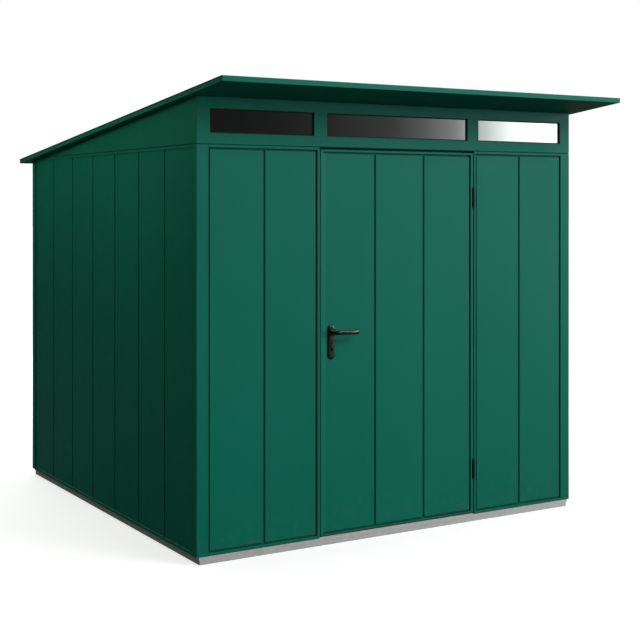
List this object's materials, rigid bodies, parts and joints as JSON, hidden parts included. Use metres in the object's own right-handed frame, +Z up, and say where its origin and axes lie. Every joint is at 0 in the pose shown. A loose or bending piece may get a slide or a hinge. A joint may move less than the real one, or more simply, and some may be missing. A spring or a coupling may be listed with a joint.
{
  "type": "metal storage shed",
  "caption": "Metal garden shed with a pent roof falling to the back, boarded steel walls, a hinged door with a lever handle and a band of fixed panes over it.",
  "frame": {"origin": "on the ground, under the middle of the roof", "axes": "+X to the right along the front, +Y from the front (door side) to the back, +Z up"},
  "size_m": [2.43, 2.804, 2.2817],
  "materials": {
    "wall_paint": "satin moss-green coating on steel",
    "door_paint": "satin moss-green coating on steel",
    "roof_paint": "satin moss-green coating on steel",
    "galvanised": "dull zinc-coated steel",
    "floor_steel": "zinc-coated steel deck",
    "pane": "smoked glossy acrylic",
    "hinge_steel": "dark satin",
    "lock_steel": "satin",
    "black_handle": "black, slightly glossy",
    "seal_rubber": "black rubber seals"
  },
  "bodies": {
    "shed": {"base_rail_front": "galvanised", "base_rail_back": "galvanised", "base_rail_left": "galvanised", "base_rail_right": "galvanised", "floor": "floor_steel", "corner_post_front_left": "wall_paint", "corner_post_front_right": "wall_paint", "corner_post_back_left": "wall_paint", "corner_post_back_right": "wall_paint", "front_wall_left": "wall_paint", "front_wall_right": "wall_paint", "door_post_left": "wall_paint", "door_post_right": "wall_paint", "door_head": "wall_paint", "door_sill": "galvanised", "left_wall": "wall_paint", "right_wall": "wall_paint", "back_wall": "wall_paint", "left_gable": "wall_paint", "right_gable": "wall_paint", "window_fascia": "wall_paint", "window_left": "pane", "window_middle": "pane", "window_right": "pane", "roof_deck": "roof_paint", "roof_trim_front": "roof_paint", "roof_trim_back": "roof_paint", "roof_trim_left": "roof_paint", "roof_trim_right": "roof_paint", "roof_beam_left": "galvanised", "roof_beam_right": "galvanised", "hinge_upper_frame_half": "hinge_steel", "hinge_lower_frame_half": "hinge_steel"},
    "door": {"door_leaf": "door_paint", "door_stile_hinge_side": "door_paint", "door_stile_lock_side": "door_paint", "door_rail_top": "door_paint", "door_rail_middle": "door_paint", "door_rail_bottom": "door_paint", "hinge_upper_door_half": "hinge_steel", "hinge_lower_door_half": "hinge_steel", "lock_case": "lock_steel", "handle_plate_outside": "black_handle", "handle_plate_inside": "black_handle"},
    "handle": {"lever_handles": "black_handle"}
  },
  "joints": [
    {"name": "door_hinge", "type": "hinge", "parent": "shed", "child": "door", "pos_m": [0.485, -1.0535, 1], "axis": [0, 0, 1], "range_deg": [0, 110]},
    {"name": "lever_turn", "type": "hinge", "parent": "door", "child": "handle", "pos_m": [-0.4185, -1.052, 1.063], "axis": [0, 1, 0], "range_deg": [0, 40], "stiffness_Nm_per_rad": 0.6, "springref_deg": -8.59}
  ]
}
